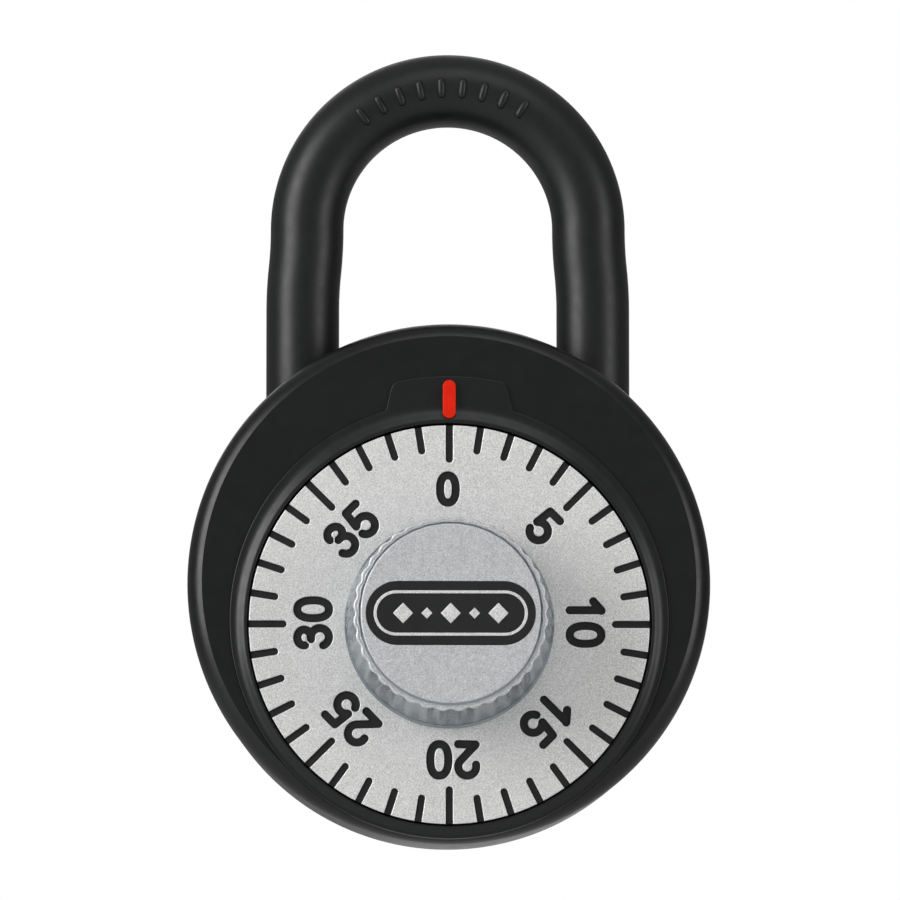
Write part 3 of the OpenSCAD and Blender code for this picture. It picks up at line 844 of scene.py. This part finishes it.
class PADLOCK_OT_bezel(bpy.types.Operator):
    """Make the bezel: the eccentric ring, the index tab and the well that the dial turns in"""
    bl_idname = "padlock.bezel"
    bl_label = "Bezel"

    def execute(self, context):
        case = in_mm(context.scene.padlock_case)

        def section(angle):
            edge, width = bezel_edge(case, angle), ring_edge(case, angle) - case.opening_r
            flare = [(case.opening_r + width * out, FACE_H + rise, 0) for out, rise in FLARE]
            return rounded([
                (BORE_R, HUB_BACK_H, 0),
                (HUB_R, HUB_BACK_H, 0.2),
                (HUB_R, WELL_BACK_H, 0),
                (WELL_R, WELL_BACK_H, 0),
                (WELL_R, FACE_H - POCKET + 0.05, 0),
                (edge, FACE_H - POCKET + 0.05, 0),
                (edge, FACE_H + FLANGE, 0.11),
                *flare,
                (case.opening_r, FACE_H + CREST, 0.12),
                (case.opening_r, WELL_H, 0),
                (BORE_R, WELL_H, 0),
            ], 5)

        bezel = draw("bezel_ring", around(section, bezel_angles()))
        spots = [(x, y + DIAL_DROP) for x, y in LOW_POSTS]
        combine(bezel, discs(spots, LOW_POST_R, FRAME_H, 7.6), "UNION")
        combine(bezel, discs(spots, *RIVET_BORE, 24), "DIFFERENCE")
        black = satin_black("Bezel Enamel", shade(case.black, 1.25), 0.30, 0.38)
        seat(bezel, DIAL_Z, "case", black, "bezel_black", "bezel_plate", sharp=40)

        low, high = node_mm("index_mark")
        mark_y = (low.z + high.z) / 2 - DIAL_Z
        outline = [(y, x + mark_y) for x, y in pill(case.mark_l, case.mark_w, 12)][::-1]
        mark = plate("index_mark_red", [outline], -low.y - 0.4, -low.y + 0.05, 0.09)
        seat(mark, DIAL_Z, "case", signal_paint("Signal Red", case.red), "mark_red", "index_mark")
        return {"FINISHED"}


# ---- Shackle ----


NECK_START, NECK_END, NECK_R = 7.5, 18.5, 2.6      # turned neck of the heel leg
TOE_END = 8.6                                      # end of the toe leg above the case's middle
NOTCH = ((1.7, 13.55), (4.0, 8.95), (4.0, 15.8), (1.7, 15.8))  # latch notch, from the leg's middle


class PADLOCK_OT_shackle(bpy.types.Operator):
    """Make the shackle: the bow, its flared legs, the latch notch and the stop neck"""
    bl_idname = "padlock.shackle"
    bl_label = "Shackle"

    def execute(self, context):
        shackle = in_mm(context.scene.padlock_shackle)
        bow_y = BOW_TOP - shackle.bow_r - WIRE_R
        leg_top = bow_y - shackle.flare
        lean = 2 * math.atan((LEG_X - shackle.bow_r) / shackle.flare)
        sweep_r = shackle.flare / 2 / math.sin(lean)
        lean = math.degrees(lean)

        def swept(centre, radius, start, end, first, last, steps):
            """Stations of full wire along an arc, with its first and last direction."""
            return [(*point, first + (last - first) * i / steps, WIRE_R)
                    for i, point in enumerate(arc(centre, radius, start, end, steps))]

        half = swept((LEG_X - sweep_r, leg_top), sweep_r, 0, lean, 90, 90 + lean, 12)
        half += swept((shackle.bow_r + sweep_r, bow_y), sweep_r, 180 + lean, 180, 90 + lean, 90,
                      12)[1:]
        bow = swept((0, bow_y), shackle.bow_r, 0, 180, 90, 270, 144)[1:-1]
        other = [(-x, y, 360 - direction, radius) for x, y, direction, radius in half[::-1]]
        heel = [(LEG_X, y, 90, radius) for y, radius in (
            (HEEL_END, 0), (HEEL_END, WIRE_R - 1), (HEEL_END + 0.9, WIRE_R - 0.1),
            (HEEL_END + 1.1, WIRE_R), (NECK_START, WIRE_R), (NECK_START, NECK_R),
            (NECK_END, NECK_R), (NECK_END, WIRE_R), (22.5, WIRE_R))]
        toe = [(-LEG_X, y, 270, radius) for y, radius in (
            (22.5, WIRE_R), (TOE_END + 1.1, WIRE_R), (TOE_END + 0.9, WIRE_R - 0.1),
            (TOE_END, WIRE_R - 1), (TOE_END, 0))]
        bar = draw("shackle_bar", along(heel + half + bow + other + toe, 72))
        combine(bar, prism([(x - LEG_X, y) for x, y in NOTCH], -5, 5), "DIFFERENCE")
        black = satin_black("Shackle Coating", shackle.black, 0.36, 0.44)
        seat(bar, CASE_Z, "shackle", black, "shackle_black", "shackle")

        ribs = draw("bow_ribs", ([], []))
        ribs_tree().run(ribs, Count=shackle.ribs, Bow_Radius=shackle.bow_r, Wire_Radius=WIRE_R,
                        Width=shackle.rib_w, Material=black)
        ribs.data.transform(Matrix.Translation((0, bow_y, 0)))
        closed_up(ribs.data)
        seat(ribs, CASE_Z, "shackle", black, "shackle_black", sharp=60)
        return {"FINISHED"}


# ---- Dial ----


DIGIT_W, DIGIT_H = 1.72, 3.01      # middle lines of a full digit
ONE_W = 0.86                       # middle lines of a one
DIGIT_GAP, ONE_GAP = 0.94, 1.5     # gaps between middle lines, plain and after a one
LONE_ZERO = 0.87                   # size of the zero under the mark against the other digits
# Sideways place of each number about its graduation
NUMBER_SHIFT = (-0.13, -0.28, -0.18, -0.10, -0.38, 0.14, 0.08, -0.25)


def digit_strokes(digit, w, h):
    """Middle lines of a rounded digit in a box of width w and height h."""
    if digit == 0:
        turns = [(math.cos(2 * math.pi * i / 48), math.sin(2 * math.pi * i / 48))
                 for i in range(49)]
        return [[(w / 2 * (1 + math.copysign(abs(c) ** 0.86, c)),
                  h / 2 * (1 + math.copysign(abs(s) ** 0.86, s))) for c, s in turns]]
    if digit == 1:
        return [[(0, h - 0.76), (ONE_W, h), (ONE_W, 0)], [(ONE_W, h), (ONE_W + 0.06, h + 0.03)]]
    if digit == 2:
        return [arc((w / 2, h - w / 2), w / 2, 192, -38, 24) + [(0.06, 0.04), (w, 0)]]
    if digit == 3:
        return [arc((0.82, h - 0.65), (0.76, 0.65), 188, -90, 24) + [(0.66, h - 1.3)],
                arc((w / 2, (h - 1.3) / 2), (w / 2, (h - 1.3) / 2), 90, -158, 28)]
    return [[(w - 0.1, h), (0.30, h), (0.12, 1.42)] + arc((w / 2, 0.88), 0.88, 140, -156, 28)]


def contours(strokes, width):
    """Closed outlines of strokes drawn with a round pen, by marching squares on the distance."""
    step, margin = 0.045, width
    a = np.array([point for stroke in strokes for point in stroke[:-1]])
    b = np.array([point for stroke in strokes for point in stroke[1:]])
    low, high = np.minimum(a, b).min(0) - margin, np.maximum(a, b).max(0) + margin
    xs, ys = np.arange(low[0], high[0], step), np.arange(low[1], high[1], step)
    grid = np.stack(np.meshgrid(xs, ys, indexing="ij"), -1)[:, :, None]
    run = b - a
    t = np.clip(((grid - a) * run).sum(-1) / (run * run).sum(-1), 0, 1)
    field = np.linalg.norm(grid - a - t[..., None] * run, axis=-1).min(-1) - width / 2
    links, spots = {}, {}
    for i in range(len(xs) - 1):
        for j in range(len(ys) - 1):
            corners = [(i, j), (i + 1, j), (i + 1, j + 1), (i, j + 1)]
            cut = [tuple(sorted((p, q))) for p, q in zip(corners, corners[1:] + corners[:1])
                   if (field[p] < 0) != (field[q] < 0)]
            for p, q in cut:
                share = field[p] / (field[p] - field[q])
                spots[p, q] = (xs[p[0]] + (xs[q[0]] - xs[p[0]]) * share,
                               ys[p[1]] + (ys[q[1]] - ys[p[1]]) * share)
            for one, two in zip(cut[::2], cut[1::2]):
                links.setdefault(one, []).append(two)
                links.setdefault(two, []).append(one)
    outlines = []
    while links:
        edge, outline = min(links), []
        while edge in links:
            outline.append(spots[edge])
            following = [e for e in links.pop(edge) if e in links]
            edge = following[0] if following else None
        outlines.append(thinned(outline))
    return outlines


def thinned(outline, least=0.05):
    """An outline without the points that stand too close together."""
    kept = [outline[0]]
    for point in outline[1:]:
        if math.dist(point, kept[-1]) > least:
            kept.append(point)
    if math.dist(kept[-1], kept[0]) < least:
        kept.pop()
    return kept


def turned_to(points, angle):
    """Drawing points turned clockwise about the dial axis, in degrees."""
    c, s = math.cos(math.radians(angle)), math.sin(math.radians(angle))
    return [(x * c + y * s, y * c - x * s) for x, y in points]


def dial_edge(dial):
    """Outline of the dial with a round-ended notch for each graduation."""
    outline, half = [], dial.tick_w / 2
    step = 360 / dial.ticks
    for i in range(dial.ticks):
        depth = dial.tick_long if i % 5 == 0 else dial.tick_short
        foot = math.degrees(math.asin(half / dial.dial_r))
        bottom = dial.dial_r - depth + half
        edge_y = math.sqrt(dial.dial_r ** 2 - half ** 2)
        notch = [(-half, edge_y)] + arc((0, bottom), half, 180, 360, 10) + [(half, edge_y)]
        outline += turned_to(notch, i * step)
        arcs = [foot + (step - 2 * foot) * k / 6 for k in range(1, 6)]
        outline += [turned_to([(0, dial.dial_r)], i * step + a)[0] for a in arcs]
    return outline


def number_outlines(dial):
    """Outlines of the numbers 0, 5 ... 35 in their places round the dial."""
    outlines = []
    for i, shift in enumerate(NUMBER_SHIFT):
        digits = [int(c) for c in str(5 * i)]
        size = LONE_ZERO if i == 0 else 1.0
        w, h = DIGIT_W * size, DIGIT_H * size
        widths = [ONE_W if digit == 1 else w for digit in digits]
        gap = ONE_GAP if digits[0] == 1 else DIGIT_GAP
        x = shift - (sum(widths) + gap * (len(digits) - 1)) / 2
        for digit, width in zip(digits, widths):
            for outline in contours(digit_strokes(digit, w, h), dial.stroke):
                moved = [(x + px, dial.number_r - h / 2 + py) for px, py in outline]
                outlines.append(turned_to(moved, 45 * i))
            x += width + gap
    return outlines


class PADLOCK_OT_dial(bpy.types.Operator):
    """Make the silver dial with its recessed graduations and numbers, and the ink below them"""
    bl_idname = "padlock.dial"
    bl_label = "Dial"

    def execute(self, context):
        dial = in_mm(context.scene.padlock_dial)
        floor, base_r = DIAL_H - dial.recess, dial.dial_r - 0.02
        hole = arc((0, 0), BORE_R, 0, 352.5, 47)
        outlines = [dial_edge(dial), hole] + number_outlines(dial)
        face = plate("dial_face", outlines, floor, DIAL_H, 0.07)
        silver = grained_silver("Dial Silver", dial.silver)
        seat(face, DIAL_Z, "dial", silver, "dial_silver", "dial_plate")
        base = draw("dial_base", around(rounded([
            (BORE_R, DIAL_BACK_H, 0), (base_r, DIAL_BACK_H, 0.15), (base_r, floor, 0),
            (BORE_R, floor, 0)]), 192))
        seat(base, DIAL_Z, "dial", filled_ink("Dial Ink", dial.ink), "dial_silver")
        return {"FINISHED"}


# ---- Knob ----


KNOB_R, TOP_R = 10.0, 9.24         # radius of the knob at its foot, and at the top of its wall
SOCKET_R, HOLLOW_R = 3.5, 7.6      # outside of the spindle's socket, and inside of the wall
LINE_W = 0.28                      # width of the badge's outline


class PADLOCK_OT_knob(bpy.types.Operator):
    """Make the hollow fluted knob"""
    bl_idname = "padlock.knob"
    bl_label = "Knob"

    def execute(self, context):
        knob = in_mm(context.scene.padlock_knob)
        foot, top, face_r = KNOB_FOOT_H, KNOB_H, knob.face_r
        section = divided(rounded([
            (0, top - 1.65, 0), (BORE_R, top - 1.65, 0), (BORE_R, foot, 0), (SOCKET_R, foot, 0),
            (SOCKET_R, top - 2, 0), (HOLLOW_R, top - 2, 0), (HOLLOW_R, foot, 0),
            (KNOB_R, foot, 0.06), (KNOB_R, foot + 0.5, 0.16), (KNOB_R - 0.2, foot + 0.7, 0.05),
            (TOP_R, top - 0.42, 0.2), (face_r + 0.48, top - 0.46, 0.05),
            (face_r + 0.40, top - 0.52, 0.04), (face_r, top, 0.1), (0, top, 0)], 4), 0.9)
        turns = knob.flutes * 10
        points, faces = around(section, turns)
        mesh = bpy.data.meshes.new("knob_body")
        mesh.from_pydata(points, [], faces)
        r, h = np.array(section).T
        rise = np.clip((h - foot - 0.75) / 0.8, 0, 1)
        rim = np.clip((r - face_r - 0.25) / 0.35, 0, 1)
        shares = rise * rim * (1 - 0.35 * np.maximum(0, h - top + 1))
        mesh.attributes.new("flute", "FLOAT", "POINT").data.foreach_set(
            "value", np.tile(shares.astype(np.float32), turns))
        body = linked("knob_body", mesh)
        silver = grained_silver("Knob Silver", knob.silver, 0.7, wall=knob.wall)
        flutes_tree().run(body, Flutes=knob.flutes, Depth=knob.flute_depth, Material=silver)
        closed_up(body.data)
        recess = pill(knob.badge_w + 0.1, knob.badge_l + 0.1)
        combine(body, prism(recess, top - 0.45, top + 1), "DIFFERENCE")
        seat(body, DIAL_Z, "dial", silver, "knob_silver", "knob", sharp=38)
        return {"FINISHED"}


class PADLOCK_OT_badge(bpy.types.Operator):
    """Make the black badge with its raised outline and its row of lozenges"""
    bl_idname = "padlock.badge"
    bl_label = "Badge"

    def execute(self, context):
        knob, dial = in_mm(context.scene.padlock_knob), in_mm(context.scene.padlock_dial)
        low, high = node_mm("knob_badge")
        front = -low.y
        black = satin_black("Badge Black", (0.0075, 0.0078, 0.0082), 0.4, 0.5)
        base = plate("badge_plate", [pill(knob.badge_w, knob.badge_l, 32)], -high.y, front, 0.05)
        seat(base, DIAL_Z, "dial", black, "badge_black", "knob_badge")

        bright = grained_silver("Badge Silver", dial.silver, 0.6)
        outer_w, outer_l = knob.badge_w - 1.45, knob.badge_l - 1.7
        line = [pill(outer_w, outer_l, 32),
                pill(outer_w - 2 * LINE_W, outer_l - 2 * LINE_W, 32)[::-1]]
        outline = plate("badge_outline", line, front - 0.03, front + 0.05, 0.03)
        seat(outline, DIAL_Z, "dial", bright, "dial_silver")

        row = draw("badge_lozenges", ([], []))
        lozenges_tree().run(row, Count=knob.lozenges, Spacing=2.25, Size=1.05, Thickness=0.08,
                            Material=bright)
        row.data.transform(Matrix.Translation((0, 0, front - 0.03)))
        closed_up(row.data)
        seat(row, DIAL_Z, "dial", bright, "dial_silver")
        return {"FINISHED"}


# ---- Mechanism ----


class PADLOCK_OT_springs(bpy.types.Operator):
    """Make the coil spring behind the latch bolt and the leaf spring on the lever"""
    bl_idname = "padlock.springs"
    bl_label = "Springs"

    def execute(self, context):
        steel = plated("Spring Wire", (0.34, 0.36, 0.40), 0.2, 0.32)
        low, high = node_mm("latch_spring")
        wire_r = 0.2
        spring = draw("latch_coil", ([], []))
        spring_tree().run(spring, Turns=8.0, Coil_Radius=(high.z - low.z) / 2 - wire_r,
                          Wire_Radius=wire_r, Length=high.x - low.x - 2 * wire_r, Material=steel)
        end = Vector((low.x + wire_r, (low.z + high.z) / 2 - CASE_Z, -(low.y + high.y) / 2))
        spring.data.transform(Matrix.Translation(end) @ Matrix.Rotation(math.pi / 2, 4, "Y"))
        closed_up(spring.data)
        seat(spring, CASE_Z, "case", steel, "spring_steel", "latch_spring")
        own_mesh(spring)

        low, high = node_mm("lever_spring")
        thick, start, end = 0.3, 5, 90
        bend_r = (high.x - low.x) / math.cos(math.radians(start))
        centre = (low.x, high.z - CASE_Z - bend_r)
        outline = arc(centre, bend_r, start, end, 24) + arc(centre, bend_r - thick, end, start, 24)
        leaf = draw("lever_leaf", prism(outline, -high.y, -low.y))
        seat(leaf, CASE_Z, "case", steel, "spring_steel", "lever_spring")
        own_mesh(leaf)
        return {"FINISHED"}


class PADLOCK_OT_mechanism(bpy.types.Operator):
    """Finish the metal of the wheel pack, the latch, the lever and their frame"""
    bl_idname = "padlock.mechanism"
    bl_label = "Mechanism"

    def execute(self, context):
        steel = plated("Plated Steel", (0.62, 0.60, 0.52))
        bronze = plated("Sintered Bronze", (0.44, 0.36, 0.26), 0.45, 0.62)
        bright = turned("Bright Pin Steel", (0.66, 0.66, 0.67))
        spring = plated("Spring Steel", (0.34, 0.36, 0.40), 0.2, 0.32)
        brass = turned("Turned Brass", (0.72, 0.50, 0.20))
        cam = turned("Plated Cam", (0.66, 0.60, 0.44))
        finishes = {
            steel: ("mechanism_frame", "latch_housing", "latch_bolt", "fence", "lever"),
            bronze: ("toe_bushing", "heel_bushing"),
            bright: ("frame_rivets", "heel_pin", "lever_pin", "wheel_post", "spindle",
                     "lever_follower", "middle_fly", "rear_fly", "dial_washer"),
            spring: ("post_clip",),
            brass: ("middle_wheel", "rear_wheel", "wheel_spacers"),
            cam: ("drive_cam",),
        }
        for material, nodes in finishes.items():
            for node in nodes:
                mesh = frame["nodes"][node].data
                mesh.materials.clear()
                mesh.materials.append(material)
        return {"FINISHED"}


# ---- Studio ----


AIM = Vector((0.0001, -0.008, -0.0325))     # point that the camera and the lights look at
FLOOR_REACH = 3.0
PAPER_GLOW = 0.35      # extra brightness of the floor in front of the camera only
LIGHT_DISTANCE = 1.2
# Name, azimuth, elevation, width, height and power of each soft light
SOFT_LIGHTS = (
    ("Left Softbox", 55, 16, 0.65, 0.9, 4.7),
    ("Right Softbox", -55, 0, 0.55, 1.0, 2.2),
    ("Top Softbox", -10, 52, 0.8, 0.6, 0.8),
    ("Back Sky", 174, 30, 0.9, 0.6, 0.45),
    ("Back Strip", -170, 0, 0.5, 0.9, 0.25),
)


def towards(azimuth, elevation):
    """Direction from the lock at an azimuth, 0 in front and 90 to the left, and an elevation."""
    level = math.cos(elevation)
    return Vector((-math.sin(azimuth) * level, -math.cos(azimuth) * level, math.sin(elevation)))


def placed(name, data, direction, distance):
    """A light or a camera that looks at the lock from a direction."""
    thing = linked(name, data)
    thing.location = AIM + direction * distance
    thing.rotation_mode = "QUATERNION"
    thing.rotation_quaternion = direction.to_track_quat("Z", "Y")
    return thing


def soft_light(name, azimuth, elevation, width, height, power):
    """A rectangular soft light, placed by an azimuth and an elevation in degrees."""
    data = bpy.data.lights.new(name, "AREA")
    data.shape, data.size, data.size_y, data.energy = "RECTANGLE", width, height, power
    data.spread = math.radians(110)
    direction = towards(math.radians(azimuth), math.radians(elevation))
    placed(name, data, direction, LIGHT_DISTANCE).visible_camera = False


def studio_world(ahead, behind, left, right, above, below):
    """White behind the lock for the camera, and for its light a soft room whose walls each have
    their own brightness."""
    world = bpy.data.worlds.new("Studio")
    world.use_nodes = True
    nodes, links = world.node_tree.nodes, world.node_tree.links

    def vector(operation, a, b):
        node = nodes.new("ShaderNodeVectorMath")
        node.operation = operation
        for socket, value in zip(node.inputs, (a, b)):
            if isinstance(value, bpy.types.NodeSocket):
                links.new(value, socket)
            else:
                socket.default_value = value
        return node.outputs["Value" if operation == "DOT_PRODUCT" else "Vector"]

    direction = nodes.new("ShaderNodeTexCoord").outputs["Generated"]
    squared = vector("MULTIPLY", direction, direction)
    sides = vector("MULTIPLY", vector("SIGN", direction, (0, 0, 0)), squared)
    mean = ((right + left) / 2, (behind + ahead) / 2, (above + below) / 2)
    lean = ((right - left) / 2, (behind - ahead) / 2, (above - below) / 2)
    light = nodes.new("ShaderNodeMath")
    links.new(vector("DOT_PRODUCT", squared, mean), light.inputs[0])
    links.new(vector("DOT_PRODUCT", sides, lean), light.inputs[1])
    seen = nodes.new("ShaderNodeLightPath")
    mix = nodes.new("ShaderNodeMix")
    links.new(seen.outputs["Is Camera Ray"], mix.inputs["Factor"])
    links.new(light.outputs[0], mix.inputs["A"])
    mix.inputs["B"].default_value = 1.0
    links.new(mix.outputs["Result"], nodes["Background"].inputs["Color"])
    bpy.context.scene.world = world


class PADLOCK_OT_stage(bpy.types.Operator):
    """Set the floor, the soft studio light and the camera"""
    bl_idname = "padlock.stage"
    bl_label = "Stage"

    def execute(self, context):
        scene, studio = context.scene, context.scene.padlock_studio
        mesh = bpy.data.meshes.new("studio_floor")
        corners = [(-1, -1), (1, -1), (1, 1), (-1, 1)]
        mesh.from_pydata([(x * FLOOR_REACH, y * FLOOR_REACH, studio.floor_z) for x, y in corners],
                         [], [(0, 1, 2, 3)])
        floor = linked("studio_floor", mesh)
        paper = Finish("Studio Paper", specular=0.2)
        paper.colour(paper.noise(0.05), (0.80, 0.80, 0.80), 1.0, 1.05)
        paper.rough(paper.noise(0.2), 0.75, 0.9)
        seen = paper.nodes.new("ShaderNodeLightPath").outputs["Is Camera Ray"]
        paper.join((1, 1, 1, 1), paper.shader.inputs["Emission Color"])
        paper.join(paper.op("MULTIPLY", seen, PAPER_GLOW), paper.shader.inputs["Emission Strength"])
        mesh.materials.append(paper.material)

        for light in SOFT_LIGHTS:
            soft_light(*light)
        studio_world(ahead=0.36, behind=0.22, left=0.22, right=0.16, above=0.42, below=0.10)

        data = bpy.data.cameras.new("Studio Camera")
        data.lens, data.sensor_width = studio.lens, 36
        data.clip_start, data.clip_end = 0.05, 20
        direction = towards(studio.azimuth, studio.elevation)
        scene.camera = placed("Studio Camera", data, direction, studio.distance)
        scene.view_settings.view_transform = "Standard"
        return {"FINISHED"}


# ---- Panel and registration ----


OPERATORS = (
    PADLOCK_OT_case,
    PADLOCK_OT_back,
    PADLOCK_OT_bezel,
    PADLOCK_OT_shackle,
    PADLOCK_OT_dial,
    PADLOCK_OT_knob,
    PADLOCK_OT_badge,
    PADLOCK_OT_springs,
    PADLOCK_OT_mechanism,
    PADLOCK_OT_stage,
)


class PADLOCK_PT_pieces(bpy.types.Panel):
    """Lists the pieces of the padlock and their settings"""
    bl_idname = "PADLOCK_PT_pieces"
    bl_label = "Dial Padlock"
    bl_space_type = "VIEW_3D"
    bl_region_type = "UI"
    bl_category = "Padlock"

    def draw(self, context):
        for operator in OPERATORS:
            self.layout.operator(operator.bl_idname)
        for group, settings in SETTINGS.items():
            box = self.layout.box()
            box.label(text=settings.__doc__)
            for name in settings.__annotations__:
                box.prop(getattr(context.scene, group), name)


CLASSES = (*SETTINGS.values(), *OPERATORS, PADLOCK_PT_pieces)


def register():
    for cls in CLASSES:
        bpy.utils.register_class(cls)
    for group, settings in SETTINGS.items():
        setattr(bpy.types.Scene, group, PointerProperty(type=settings))


def unregister():
    for group in SETTINGS:
        delattr(bpy.types.Scene, group)
    for cls in reversed(CLASSES):
        bpy.utils.unregister_class(cls)


def main():
    """Registers the settings and makes every piece in order."""
    register()
    for operator in OPERATORS:
        group, name = operator.bl_idname.split(".")
        getattr(getattr(bpy.ops, group), name)()


if __name__ == "__main__":
    main()
